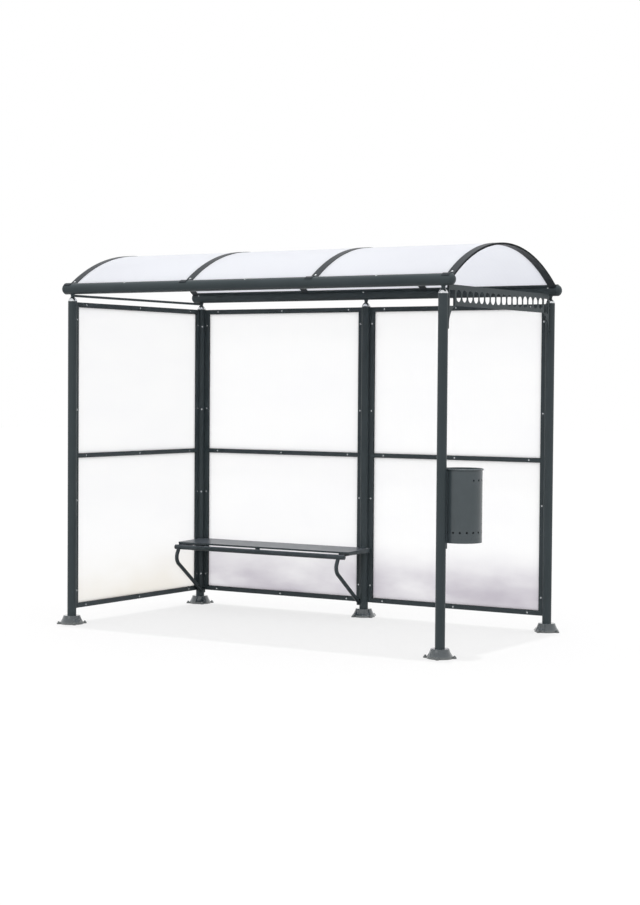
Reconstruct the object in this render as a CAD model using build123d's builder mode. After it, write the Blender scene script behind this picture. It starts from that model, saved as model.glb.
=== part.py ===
from build123d import *
from math import asin, cos, degrees, radians, sin, sqrt, tan
import os

# Bus shelter: five round posts on cast feet carry two eave tubes, and four arched
# glazing bars between the eaves hold three curved sheets. The back and the left
# side are closed by framed panels. A bench hangs on the back posts and a litter
# bin on the front right post.
#
# Millimetres. The origin is on the ground at the axis of the front left post,
# +X runs to the front right post, +Y to the back wall and +Z up.

# ---------------------------------------------------------------- driving sizes
LENGTH = 3090.0          # outer post axes, along X
DEPTH = 1625.0           # front post axes to back post axes, along Y
CLEARANCE = 0.3          # between pieces that are pushed or fitted together

POST_R = 33.0
POST_WALL = 2.5
POST_TOP = 2380.0

FOOT_HEIGHT = 64.0
FOOT_RIM_R = 89.0
FOOT_RIM_HEIGHT = 7.0
FOOT_SKIRT = (85.0, 16.0)       # radius and height where the bell's hollow curve starts
FOOT_WAIST = (68.0, 45.0)       # where it turns upright
FOOT_BELL_HOLLOW = 1.0          # of that curve, under the line between the two
FOOT_CROWN_R = 63.0
FOOT_CROWN_ROUND = 6.0
FOOT_WALL = 6.0
FOOT_FLOOR = 8.0         # under the end of the post
SOCKET_WALL = 7.0
EAR_R = 14.0
EAR_THICK = 10.0
EAR_PCD = 195.0
EAR_HOLE_R = 6.0
EARS = 4

CAP_LIP = 3.0
CAP_SHOULDER = (7.0, 18.0)      # of the dome: in from the post's face, up from its top
CAP_HEIGHT = 30.0
CAP_SPIGOT = 25.0
STEM_R = 13.0
STEM_HEIGHT = 20.0       # from the cap to the underside of the eave tube
STEM_PLAIN = 6.0         # of it, before the flare starts
STEM_FLARE = 2.5
SADDLE_R = 21.0
SADDLE_EDGE = 3.0        # height of the saddle's rim, under the tube's side

BEAM_R = 40.0
BEAM_WALL = 3.0
BEAM_OVERHANG = 60.0     # tube end past the outer post axes
BEAM_CAP_EDGE = 2.0
BEAM_CAP_DOME = 25.0
BEAM_CAP_SPIGOT = 22.0

ARCH_RISE = 281.0        # crown of the roof above the eave axes
ARCHES = 4
ARCH_PAST = 30.0         # end arches, past the outer post axes
ARCH_WIDTH = 56.0
ARCH_FLANGE = 2.8
ARCH_WEB = 8.0
ARCH_PLAY = 0.2          # between a sheet and each flange of its bar
STRAP_THICK = 4.0        # tongue of each arch, wrapped over the eave tube
STRAP_TIP = 35.0         # degrees above the level of the tube's axis, outside
STRAP_ROOT = 4.0         # degrees that the tongue reaches into the arch
SHEET_THICK = 8.0
SHEET_SIDE_GAP = 2.0     # room for the sheet to grow in its bar
SHEET_END_GAP = 1.5      # between the sheet's end and the tongues on the eave tube

TIE_R = 9.0
TIE_RISE = 10.0          # tie's axis, above the foot of the stems

FRAME_DEPTH = 30.0
FRAME_WALL = 2.0
STILE_EDGE = 70.0        # panel side of a stile, from its post's axis
RAIL_HEIGHT = 33.0       # top and bottom rails
MIDDLE_RAIL_HEIGHT = 27.0
TOP_RAIL_DROP = 22.0     # its middle, under the post tops
MIDDLE_RAIL_Z = 1242.0
BOTTOM_RAIL_Z = 128.0
BACK_FACE = 6.0          # inner face of the back frames, behind the back post axes
SIDE_FACE = 3.0          # inner face of the side frame, inside the left post axes
PANEL_THICK = 6.0
PANEL_GRIP = 8.0         # depth of the groove that holds a panel's edge
PANEL_EDGE_GAP = 1.0     # between the panel's edge and the groove's floor
PANEL_PLAY = 0.2         # between a panel and each side of its groove

SEAT_TOP = 530.0         # at its back edge, against the wall
SEAT_SLOPE = 1.6         # degrees, falling to its front edge
SEAT_START = 14.0        # seat's left edge, from the left post axis
SEAT_PAST = 53.0         # seat's right edge, past the middle back post axis
SEAT_DEPTH = 325.0       # seat's front edge, before the back post axes
SEAT_PLATE = 3.0
SEAT_CORNER_R = 12.0
SEAT_LIP = 13.0
SEAT_SIDE = 26.0         # depth of the side flanges at the front; their lower edge is level
SEAT_SIDE_GAP = 4.0      # between the side flanges and the front tube
BENCH_TUBE_R = 19.0
BENCH_TUBE_WALL = 2.5
BENCH_TUBE_OUT = 15.0    # tube's axis, before the seat's front edge
BENCH_TUBE_GAP = 7.0     # between the tube and the seat's lip
BENCH_TUBE_START = 3.0
BENCH_TUBE_PAST = 30.0
LEG_R = 15.0
LEG_WALL = 2.0
LEG_INSET = 29.0         # legs and arms, from the post axes towards the bench's middle
LEG_START = (5.0, 12.0)         # behind and under the front tube's axis
LEG_KNEE_AT = (39.0, 101.0)     # before and under the front tube's axis
LEG_KNEE_R = 70.0
LEG_FOOT_BEFORE = 19.0          # before the back post axes
LEG_FOOT_Z = 106.0
ARM_WIDTH = 20.0
ARM_HEIGHT = 40.0
ARM_WALL = 2.0
PAD_WIDTH = 36.0
PAD_HEIGHT = 50.0
PAD_REACH = 34.0
PAD_SINK = 8.0           # of the leg's end, into its pad
TAB_WIDTH = 40.0
TAB_THICK = 6.0

BIN_R = 132.0
BIN_WALL = 2.0
BIN_BOTTOM = 753.0
BIN_TOP = 1240.0
BIN_BASE_RISE = 14.0
BIN_LIP = 7.0
BIN_LIP_HEIGHT = 14.0
BIN_BEARING = 66.0       # degrees from +X towards +Y, seen from the front right post
BIN_HOLE_R = 7.0
BIN_HOLES = 18
BIN_FIRST_HOLE = 11.8    # degrees from +X
BIN_HOLE_ROW_LOW = 70.0  # above the bottom edge
BIN_HOLE_ROW_HIGH = 76.0 # below the top edge
BIN_PLAIN_HOLES = 5      # holes left out of the upper row, towards the road
BIN_HOLES_BEFORE = 2     # holes of the upper row before the first of the lower row
BIN_RIM_GAP = 1.0        # between the bin's rim and the post
BRACKET_WIDTH = 26.0
BRACKET_LOW = 717.0

FRIEZE_FACE = 14.0       # outer face, outside the right post axes
FRIEZE_THICK = 4.0
FRIEZE_DROP = 28.0       # its top edge, under the axes of the eave tubes
FRIEZE_HEIGHT = 137.0
FRIEZE_PAST_TUBE = 11.0  # its ends, past the sides of the eave tubes
FRIEZE_RIB = 5.0
HORN_WIDTH = 98.0        # corner pieces, along the frieze
HORN_HEIGHT = 290.0
HORN_CURVE_START = 28.0  # up from the corner piece's lower end
HORN_WINDOW_INSET = 9.0  # behind its end rib
HORN_WINDOW_WIDTH = 70.0
HORN_WINDOW_HEIGHT = 104.0
HORN_WINDOW_DROP = 36.0  # top of the window, under the top edge
SLOT_PITCH = 83.0
SLOT_WIDTH = 68.0
SLOT_HEIGHT = 80.0
SLOT_DROP = 72.0         # middle of the slots, under the top edge
SLOT_MARGIN = 5.0        # least metal beyond the last slot
SPACER_R = 6.4
SPACERS_UP = (30.0, 190.0)      # above the corner pieces' lower ends

# --------------------------------------------------------------- derived places
MIDDLE_X = LENGTH / 2
MIDDLE_Y = DEPTH / 2
POSTS = {                # axis of each post, and the turn of its foot in degrees
    "front_left": (0.0, 0.0, 50.0),
    "front_right": (LENGTH, 0.0, 18.0),
    "back_left": (0.0, DEPTH, 45.0),
    "back_middle": (MIDDLE_X, DEPTH, 65.0),
    "back_right": (LENGTH, DEPTH, 78.0),
}
STEM_FOOT = POST_TOP + CAP_HEIGHT
BEAM_Z = STEM_FOOT + STEM_HEIGHT + BEAM_R    # eave tube axes, straight above the posts
TIE_Z = STEM_FOOT + TIE_RISE
ARCH_PITCH = (LENGTH + 2 * ARCH_PAST) / (ARCHES - 1)
ARCH_R = (MIDDLE_Y**2 + ARCH_RISE**2) / (2 * ARCH_RISE)
ARCH_Z = BEAM_Z + ARCH_RISE - ARCH_R
ARCH_HALF_ANGLE = degrees(asin(MIDDLE_Y / ARCH_R))
ARCH_GAP = SHEET_THICK + 2 * ARCH_PLAY
ARCH_THICK = ARCH_GAP + 2 * ARCH_FLANGE
ARCH_AXIS = Axis((0, MIDDLE_Y, ARCH_Z), (1, 0, 0))
TOP_RAIL_Z = POST_TOP - TOP_RAIL_DROP
FRAME_LOW = BOTTOM_RAIL_Z - RAIL_HEIGHT / 2
FRAME_HIGH = TOP_RAIL_Z + RAIL_HEIGHT / 2
PANEL_LEVELS = {
    "lower": (BOTTOM_RAIL_Z + RAIL_HEIGHT / 2, MIDDLE_RAIL_Z - MIDDLE_RAIL_HEIGHT / 2),
    "upper": (MIDDLE_RAIL_Z + MIDDLE_RAIL_HEIGHT / 2, TOP_RAIL_Z - RAIL_HEIGHT / 2),
}
SEAT_FRONT = DEPTH - SEAT_DEPTH
SEAT_BACK = DEPTH + BACK_FACE - CLEARANCE
SEAT_FALL = tan(radians(SEAT_SLOPE))
SEAT_FRONT_TOP = SEAT_TOP - (SEAT_BACK - SEAT_FRONT) * SEAT_FALL
BENCH_TUBE_Y = SEAT_FRONT - BENCH_TUBE_OUT
BENCH_TUBE_Z = SEAT_FRONT_TOP - SEAT_LIP - BENCH_TUBE_GAP - BENCH_TUBE_R
LEG_KNEE = (BENCH_TUBE_Y - LEG_KNEE_AT[0], BENCH_TUBE_Z - LEG_KNEE_AT[1])
LEG_FOOT = (DEPTH - LEG_FOOT_BEFORE, LEG_FOOT_Z)
LEG_PLACES = (LEG_INSET, MIDDLE_X - LEG_INSET)
FRIEZE_END = BEAM_R + FRIEZE_PAST_TUBE
FRIEZE_TOP = BEAM_Z - FRIEZE_DROP
FRIEZE_BOTTOM = FRIEZE_TOP - FRIEZE_HEIGHT
HORN_END = FRIEZE_END + HORN_WIDTH
HORN_FOOT = FRIEZE_TOP - HORN_HEIGHT
HORN_CURVE_FOOT = HORN_FOOT + HORN_CURVE_START
WINDOW_Z = FRIEZE_TOP - HORN_WINDOW_DROP - HORN_WINDOW_HEIGHT / 2
SLOT_ROOM = DEPTH - 2 * (HORN_END + SLOT_MARGIN)
SLOTS = int((SLOT_ROOM - SLOT_WIDTH) / SLOT_PITCH) + 1
BIN_REACH = POST_R + BIN_RIM_GAP + BIN_LIP + BIN_R
BRACKET_HIGH = BIN_TOP - BIN_LIP_HEIGHT - CLEARANCE
BIN_X = LENGTH + BIN_REACH * cos(radians(BIN_BEARING))
BIN_Y = BIN_REACH * sin(radians(BIN_BEARING))

os.makedirs("parts", exist_ok=True)


def save(builder, name):
    """Label a finished piece and write it as parts/NAME.step."""
    builder.part.label = name
    export_step(builder.part, f"parts/{name}.step")


def upright(x, y, z=0.0, turn=0.0):
    """A plane through (x, y, z) whose local X is level and local Y is up."""
    level = (cos(radians(turn)), sin(radians(turn)), 0)
    return Plane(origin=(x, y, z), x_dir=level, z_dir=(level[1], -level[0], 0))


def level_plane(place, height, turn=0.0):
    """A level plane at the place and height, its local X turned from +X in degrees."""
    x_dir = (cos(radians(turn)), sin(radians(turn)), 0)
    return Plane(origin=(*place, height), x_dir=x_dir, z_dir=(0, 0, 1))


def across(x, y=0.0, z=0.0):
    """A plane across the X axis at (x, y, z): local X is +Y and local Y is up."""
    return Plane(origin=(x, y, z), x_dir=(0, 1, 0), z_dir=(1, 0, 0))


def arch_plane(x, angle):
    """A plane through the roof's axis: local Y points out at the angle from up."""
    tilt = radians(angle)
    return Plane(origin=(x, MIDDLE_Y, ARCH_Z), x_dir=(1, 0, 0), z_dir=(0, -cos(tilt), sin(tilt)))


# ------------------------------------------------------------------------ feet
bell_middle = (
    (FOOT_SKIRT[0] + FOOT_WAIST[0]) / 2 - FOOT_BELL_HOLLOW,
    (FOOT_SKIRT[1] + FOOT_WAIST[1]) / 2 - FOOT_BELL_HOLLOW,
)
for place, (x, y, turn) in POSTS.items():
    socket_r = POST_R + CLEARANCE
    with BuildPart() as foot:
        with BuildSketch(upright(x, y)):
            with BuildLine():
                Polyline(
                    (0, 0),
                    (socket_r + SOCKET_WALL, 0),
                    (socket_r + SOCKET_WALL, FOOT_HEIGHT - FOOT_WALL),
                    (FOOT_CROWN_R - FOOT_WALL, FOOT_HEIGHT - FOOT_WALL),
                    (FOOT_WAIST[0] - FOOT_WALL, FOOT_WAIST[1]),
                    (FOOT_SKIRT[0] - FOOT_WALL, FOOT_SKIRT[1]),
                    (FOOT_RIM_R - FOOT_WALL, 0),
                    (FOOT_RIM_R, 0),
                    (FOOT_RIM_R, FOOT_RIM_HEIGHT),
                    FOOT_SKIRT,
                )
                ThreePointArc(FOOT_SKIRT, bell_middle, FOOT_WAIST)
                Polyline(FOOT_WAIST, (FOOT_CROWN_R, FOOT_HEIGHT - FOOT_CROWN_ROUND))
                RadiusArc(
                    (FOOT_CROWN_R, FOOT_HEIGHT - FOOT_CROWN_ROUND),
                    (FOOT_CROWN_R - FOOT_CROWN_ROUND, FOOT_HEIGHT),
                    -FOOT_CROWN_ROUND,
                )
                Polyline(
                    (FOOT_CROWN_R - FOOT_CROWN_ROUND, FOOT_HEIGHT),
                    (socket_r, FOOT_HEIGHT),
                    (socket_r, FOOT_FLOOR),
                    (0, FOOT_FLOOR),
                    (0, 0),
                )
            make_face()
        revolve(axis=Axis((x, y, 0), (0, 0, 1)))
        with BuildSketch(level_plane((x, y), 0, turn)):
            with PolarLocations(0, EARS):
                with Locations((EAR_PCD / 2, 0)):
                    Circle(EAR_R)
                with Locations(((EAR_PCD / 2 + FOOT_RIM_R - FOOT_WALL / 2) / 2, 0)):
                    Rectangle(EAR_PCD / 2 - FOOT_RIM_R + FOOT_WALL / 2, 2 * EAR_R)
            with PolarLocations(EAR_PCD / 2, EARS):
                Circle(EAR_HOLE_R, mode=Mode.SUBTRACT)
        extrude(amount=EAR_THICK)
    save(foot, f"{place}_foot")

# ----------------------------------------------------------------------- posts
for place, (x, y, _) in POSTS.items():
    with BuildPart() as post:
        with BuildSketch(Plane.XY.offset(FOOT_FLOOR)):
            with Locations((x, y)):
                Circle(POST_R)
                Circle(POST_R - POST_WALL, mode=Mode.SUBTRACT)
        extrude(amount=POST_TOP - FOOT_FLOOR)
    save(post, f"{place}_post")

# ---------------------------------------------------- polished caps on the posts
with BuildPart() as caps:
    for x, y, _ in POSTS.values():
        spigot_r = POST_R - POST_WALL - CLEARANCE
        with BuildSketch(upright(x, y, POST_TOP)):
            with BuildLine():
                Polyline(
                    (0, CAP_HEIGHT),
                    (0, -CAP_SPIGOT),
                    (spigot_r, -CAP_SPIGOT),
                    (spigot_r, 0),
                    (POST_R, 0),
                    (POST_R, CAP_LIP),
                )
                shoulder = (POST_R - CAP_SHOULDER[0], CAP_SHOULDER[1])
                ThreePointArc((POST_R, CAP_LIP), shoulder, (STEM_R, CAP_HEIGHT))
                Line((STEM_R, CAP_HEIGHT), (0, CAP_HEIGHT))
            make_face()
        revolve(axis=Axis((x, y, 0), (0, 0, 1)))
save(caps, "post_caps")

# --------------------------------------------------- stems that carry the eaves
def stem(x, y, grow=0.0):
    """Return the solid of a flared stem on a post's axis, with its side moved out by grow."""
    saddle_low = BEAM_Z - sqrt(BEAM_R**2 - SADDLE_R**2) - SADDLE_EDGE
    flare_low = (STEM_R + grow, STEM_FOOT + STEM_PLAIN)
    flare_middle = (STEM_R + STEM_FLARE + grow, (flare_low[1] + saddle_low) / 2 + STEM_FLARE)
    flare_high = (SADDLE_R + grow, saddle_low)
    with BuildPart() as shape:
        with BuildSketch(upright(x, y)):
            with BuildLine():
                Polyline((0, BEAM_Z), (0, STEM_FOOT), (STEM_R + grow, STEM_FOOT), flare_low)
                ThreePointArc(flare_low, flare_middle, flare_high)
                Polyline(flare_high, (SADDLE_R + grow, BEAM_Z), (0, BEAM_Z))
            make_face()
        revolve(axis=Axis((x, y, 0), (0, 0, 1)))
    return shape.part


stems = [stem(x, y) for x, y, _ in POSTS.values()]
with BuildPart() as saddles:
    add(stems)
    for eave_y in (0, DEPTH):
        with BuildSketch(across(-BEAM_OVERHANG, eave_y, BEAM_Z)):
            Circle(BEAM_R + CLEARANCE)
        extrude(amount=LENGTH + 2 * BEAM_OVERHANG, mode=Mode.SUBTRACT)
save(saddles, "beam_saddles")

# ------------------------------------------------------------------ eave tubes
for name, eave_y in (("front_eave_tube", 0), ("back_eave_tube", DEPTH)):
    with BuildPart() as eave:
        with BuildSketch(across(-BEAM_OVERHANG, eave_y, BEAM_Z)):
            Circle(BEAM_R)
            Circle(BEAM_R - BEAM_WALL, mode=Mode.SUBTRACT)
        extrude(amount=LENGTH + 2 * BEAM_OVERHANG)
    save(eave, name)

dome_r = (BEAM_R**2 + BEAM_CAP_DOME**2) / (2 * BEAM_CAP_DOME)
dome_angle = degrees(asin(BEAM_R / dome_r))
with BuildPart() as eave_caps:
    for eave_y in (0, DEPTH):
        for end_x, out in ((-BEAM_OVERHANG, -1), (LENGTH + BEAM_OVERHANG, 1)):
            spigot_r = BEAM_R - BEAM_WALL - CLEARANCE
            with BuildSketch(Plane(origin=(end_x, eave_y, BEAM_Z), x_dir=(out, 0, 0), z_dir=(0, -out, 0))):
                with BuildLine():
                    Polyline(
                        (BEAM_CAP_EDGE + BEAM_CAP_DOME, 0),
                        (-BEAM_CAP_SPIGOT, 0),
                        (-BEAM_CAP_SPIGOT, spigot_r),
                        (0, spigot_r),
                        (0, BEAM_R),
                        (BEAM_CAP_EDGE, BEAM_R),
                    )
                    CenterArc((BEAM_CAP_EDGE + BEAM_CAP_DOME - dome_r, 0), dome_r, 0, dome_angle)
                make_face()
            revolve(axis=Axis((0, eave_y, BEAM_Z), (1, 0, 0)))
save(eave_caps, "eave_tube_caps")

# ----------------------------------------------------------------- roof arches
arch_places = [-ARCH_PAST + ARCH_PITCH * i for i in range(ARCHES)]
strap_root = 180 - ARCH_HALF_ANGLE + STRAP_ROOT
strap_faces = (BEAM_R + CLEARANCE, BEAM_R + CLEARANCE + STRAP_THICK)
for number, arch_x in enumerate(arch_places, start=1):
    with BuildPart() as arch:
        with BuildSketch(arch_plane(arch_x, -ARCH_HALF_ANGLE)):
            with Locations((0, ARCH_R)):
                Rectangle(ARCH_WIDTH, ARCH_THICK)
            side = (ARCH_WIDTH - ARCH_WEB) / 2
            for way in (-1, 1):
                with Locations((way * (ARCH_WEB + side) / 2, ARCH_R)):
                    Rectangle(side, ARCH_GAP, mode=Mode.SUBTRACT)
        revolve(axis=ARCH_AXIS, revolution_arc=-2 * ARCH_HALF_ANGLE)
        for eave_y, out in ((0, -1), (DEPTH, 1)):
            with BuildSketch(across(arch_x - ARCH_WIDTH / 2, eave_y, BEAM_Z)):
                first = 90 - 90 * out + out * STRAP_TIP
                turned = out * (strap_root - STRAP_TIP)
                with BuildLine():
                    tongue = [CenterArc((0, 0), face, first, turned) for face in strap_faces]
                    Line(tongue[0] @ 0, tongue[1] @ 0)
                    Line(tongue[0] @ 1, tongue[1] @ 1)
                make_face()
            extrude(amount=ARCH_WIDTH)
            with BuildSketch(across(arch_x - ARCH_WIDTH, eave_y, BEAM_Z)):
                Circle(BEAM_R + CLEARANCE)
            extrude(amount=2 * ARCH_WIDTH, mode=Mode.SUBTRACT)
    save(arch, f"roof_arch_{number}")

# ----------------------------------------------------------------- roof sheets
sheet_end = strap_faces[1] + SHEET_END_GAP
sheet_half_angle = ARCH_HALF_ANGLE - degrees(sheet_end / ARCH_R)
sheet_width = ARCH_PITCH - ARCH_WEB - 2 * SHEET_SIDE_GAP
for number, arch_x in enumerate(arch_places[:-1], start=1):
    with BuildPart() as sheet:
        with BuildSketch(arch_plane(arch_x + ARCH_PITCH / 2, -sheet_half_angle)):
            with Locations((0, ARCH_R)):
                Rectangle(sheet_width, SHEET_THICK)
        revolve(axis=ARCH_AXIS, revolution_arc=-2 * sheet_half_angle)
    save(sheet, f"roof_sheet_{number}")

# --------------------------------------------------- side tie between the stems
tie_seats = [stem(0, stem_y, CLEARANCE) for stem_y in (0, DEPTH)]
with BuildPart() as tie:
    with BuildSketch(upright(0, 0, TIE_Z)):
        Circle(TIE_R)
    extrude(amount=-DEPTH)
    add(tie_seats, mode=Mode.SUBTRACT)
save(tie, "side_tie_bar")


# ----------------------------------------------------------------- wall frames
def bay(name, origin, run, outward, length, face, gap):
    """Make one wall bay: two stiles, three rails and two panels.

    origin is on the ground at the first post's axis, run is the way along the
    wall, outward the way out of the shelter and length the distance between the
    post axes. face is how far the frame's inner face lies outward of the axes,
    and gap how far each stile stands from its post's axis.
    """
    def plan_at(offset, height):
        start = [o + r * offset for o, r in zip(origin, run)]
        return Plane(origin=(*start, height), x_dir=(*run, 0), z_dir=(0, 0, 1))

    way = run[0] * outward[1] - run[1] * outward[0]
    depth_at = way * (face + FRAME_DEPTH / 2)
    rail_length = length - 2 * STILE_EDGE
    groove = PANEL_THICK + 2 * PANEL_PLAY
    chamber = STILE_EDGE - gap - 2 * FRAME_WALL - PANEL_GRIP

    with BuildPart() as stiles:
        for post_at, side in ((0, 1), (length, -1)):
            with BuildSketch(plan_at(post_at, FRAME_LOW)):
                with Locations((side * (STILE_EDGE + gap) / 2, depth_at)):
                    Rectangle(STILE_EDGE - gap, FRAME_DEPTH)
                with Locations((side * (gap + FRAME_WALL + chamber / 2), depth_at)):
                    Rectangle(chamber, FRAME_DEPTH - 2 * FRAME_WALL, mode=Mode.SUBTRACT)
                with Locations((side * (STILE_EDGE - PANEL_GRIP / 2), depth_at)):
                    Rectangle(PANEL_GRIP, groove, mode=Mode.SUBTRACT)
            extrude(amount=FRAME_HIGH - FRAME_LOW)
    save(stiles, f"{name}_stiles")

    with BuildPart() as rails:
        for rail_z, height, grips in (
            (BOTTOM_RAIL_Z, RAIL_HEIGHT, (1,)),
            (MIDDLE_RAIL_Z, MIDDLE_RAIL_HEIGHT, (-1, 1)),
            (TOP_RAIL_Z, RAIL_HEIGHT, (-1,)),
        ):
            start = [o + r * STILE_EDGE for o, r in zip(origin, run)]
            with BuildSketch(Plane(origin=(*start, rail_z), x_dir=(-run[1], run[0], 0), z_dir=(*run, 0))):
                low = -height / 2 + FRAME_WALL + (PANEL_GRIP if -1 in grips else 0)
                high = height / 2 - FRAME_WALL - (PANEL_GRIP if 1 in grips else 0)
                with Locations((depth_at, 0)):
                    Rectangle(FRAME_DEPTH, height)
                with Locations((depth_at, (low + high) / 2)):
                    Rectangle(FRAME_DEPTH - 2 * FRAME_WALL, high - low, mode=Mode.SUBTRACT)
                for grip in grips:
                    with Locations((depth_at, grip * (height - PANEL_GRIP) / 2)):
                        Rectangle(groove, PANEL_GRIP, mode=Mode.SUBTRACT)
            extrude(amount=rail_length)
    save(rails, f"{name}_rails")

    grip = PANEL_GRIP - PANEL_EDGE_GAP
    for level, (low, high) in PANEL_LEVELS.items():
        with BuildPart() as panel:
            with BuildSketch(plan_at(length / 2, low - grip)):
                with Locations((0, depth_at)):
                    Rectangle(rail_length + 2 * grip, PANEL_THICK)
            extrude(amount=high - low + 2 * grip)
        save(panel, f"{name}_{level}_panel")


# A stile stands just off its post: beside it where the frame's depth takes in
# the post's axis, and a little nearer where the frame stands behind the axis.
beside = POST_R + CLEARANCE
behind = sqrt((POST_R + CLEARANCE) ** 2 - BACK_FACE**2)
bay("side", (0, 0), (0, 1), (-1, 0), DEPTH, -SIDE_FACE, beside)
bay("back_left", (0, DEPTH), (1, 0), (0, 1), MIDDLE_X, BACK_FACE, behind)
bay("back_right", (MIDDLE_X, DEPTH), (1, 0), (0, 1), MIDDLE_X, BACK_FACE, behind)

# ----------------------------------------------------------------------- bench
seat_plane = Plane(
    origin=(0, SEAT_FRONT, SEAT_FRONT_TOP), x_dir=(1, 0, 0),
    z_dir=(0, -sin(radians(SEAT_SLOPE)), cos(radians(SEAT_SLOPE))),
)


def under_seat(x, back):
    """A plane across the seat's slope, which it meets at x and back mm behind the front edge.

    Its local X is +X and its local Y points up, square to the seat's top.
    """
    return Plane(origin=seat_plane.from_local_coords((x, back, 0)), x_dir=(1, 0, 0), z_dir=-seat_plane.y_dir)


# Room that the posts and the frames of the back wall take up.
with BuildPart() as wall_room:
    for x, y, _ in POSTS.values():
        with BuildSketch(Plane.XY):
            with Locations((x, y)):
                Circle(POST_R + CLEARANCE)
        extrude(amount=2 * SEAT_TOP)
    with BuildSketch(upright(MIDDLE_X / 2, SEAT_BACK, SEAT_TOP)):
        Rectangle(LENGTH, 2 * SEAT_TOP)
    extrude(amount=-FRAME_DEPTH)

seat_end = MIDDLE_X + SEAT_PAST
seat_run = (SEAT_BACK - SEAT_FRONT) / cos(radians(SEAT_SLOPE))
with BuildPart() as seat:
    middle = ((SEAT_START + seat_end) / 2, seat_run / 2)
    size = (seat_end - SEAT_START, seat_run)
    with BuildSketch(seat_plane):
        with Locations(middle):
            RectangleRounded(*size, SEAT_CORNER_R)
    extrude(amount=-SEAT_PLATE)
    with BuildSketch(seat_plane):
        with Locations(middle):
            RectangleRounded(*size, SEAT_CORNER_R)
            inside = [length - 2 * SEAT_PLATE for length in size]
            RectangleRounded(*inside, SEAT_CORNER_R - SEAT_PLATE, mode=Mode.SUBTRACT)
    extrude(amount=-SEAT_LIP)
    side_front = max(SEAT_FRONT + SEAT_CORNER_R, BENCH_TUBE_Y + BENCH_TUBE_R + SEAT_SIDE_GAP)
    side_back = SEAT_BACK - SEAT_CORNER_R
    side_low = SEAT_FRONT_TOP - SEAT_SIDE
    side_high = [SEAT_TOP - (SEAT_BACK - y) * SEAT_FALL - SEAT_PLATE for y in (side_front, side_back)]
    for side_x in (SEAT_START, seat_end - SEAT_PLATE):
        with BuildSketch(across(side_x)):
            with BuildLine():
                Polyline(
                    (side_front, side_low),
                    (side_back, side_low),
                    (side_back, side_high[1]),
                    (side_front, side_high[0]),
                    close=True,
                )
            make_face()
        extrude(amount=SEAT_PLATE)
    add(wall_room.part, mode=Mode.SUBTRACT)
save(seat, "bench_seat")

with BuildPart() as bench_tube:
    with BuildSketch(across(BENCH_TUBE_START, BENCH_TUBE_Y, BENCH_TUBE_Z)):
        Circle(BENCH_TUBE_R)
    extrude(amount=MIDDLE_X + BENCH_TUBE_PAST - BENCH_TUBE_START)
    with BuildSketch(across(BENCH_TUBE_START + BENCH_TUBE_WALL, BENCH_TUBE_Y, BENCH_TUBE_Z)):
        Circle(BENCH_TUBE_R - BENCH_TUBE_WALL)
    extrude(amount=MIDDLE_X + BENCH_TUBE_PAST - BENCH_TUBE_START - 2 * BENCH_TUBE_WALL, mode=Mode.SUBTRACT)
save(bench_tube, "bench_front_tube")

arm_end = DEPTH - POST_R - CLEARANCE
arm_start = SEAT_CORNER_R + CLEARANCE
with BuildPart() as arms:
    for arm_x in LEG_PLACES:
        with BuildSketch(under_seat(arm_x, arm_start)):
            with Locations((0, -SEAT_PLATE - ARM_HEIGHT / 2)):
                Rectangle(ARM_WIDTH, ARM_HEIGHT)
                Rectangle(ARM_WIDTH - 2 * ARM_WALL, ARM_HEIGHT - 2 * ARM_WALL, mode=Mode.SUBTRACT)
        extrude(amount=-((arm_end - SEAT_FRONT) / cos(radians(SEAT_SLOPE)) - arm_start))
    with BuildSketch(under_seat(MIDDLE_X / 2, SEAT_PLATE)):
        tab_height = SEAT_LIP - SEAT_PLATE + BENCH_TUBE_GAP + BENCH_TUBE_R
        with Locations((0, -SEAT_PLATE - tab_height / 2)):
            Rectangle(TAB_WIDTH, tab_height)
    extrude(amount=-TAB_THICK)
    with BuildSketch(across(0, BENCH_TUBE_Y, BENCH_TUBE_Z)):
        Circle(BENCH_TUBE_R + CLEARANCE)
    extrude(amount=LENGTH, mode=Mode.SUBTRACT)
    add(wall_room.part, mode=Mode.SUBTRACT)
save(arms, "bench_arms")

with BuildPart() as legs:
    for leg_x in LEG_PLACES:
        plane = across(leg_x)
        with BuildLine(plane) as route:
            FilletPolyline(
                (BENCH_TUBE_Y + LEG_START[0], BENCH_TUBE_Z - LEG_START[1]), LEG_KNEE, LEG_FOOT,
                radius=LEG_KNEE_R,
            )
        with BuildSketch(Plane(origin=route.line @ 0, z_dir=route.line % 0)):
            Circle(LEG_R)
            Circle(LEG_R - LEG_WALL, mode=Mode.SUBTRACT)
        sweep()
    for leg_x in LEG_PLACES:
        pad = (LEG_FOOT[0] + PAD_REACH / 2 - PAD_SINK, LEG_FOOT[1] + PAD_SINK)
        with BuildSketch(across(leg_x - PAD_WIDTH / 2, *pad)):
            Rectangle(PAD_REACH, PAD_HEIGHT)
        extrude(amount=PAD_WIDTH)
    with BuildSketch(across(0, BENCH_TUBE_Y, BENCH_TUBE_Z)):
        Circle(BENCH_TUBE_R + CLEARANCE)
    extrude(amount=LENGTH, mode=Mode.SUBTRACT)
    add(wall_room.part, mode=Mode.SUBTRACT)
save(legs, "bench_legs")

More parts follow.
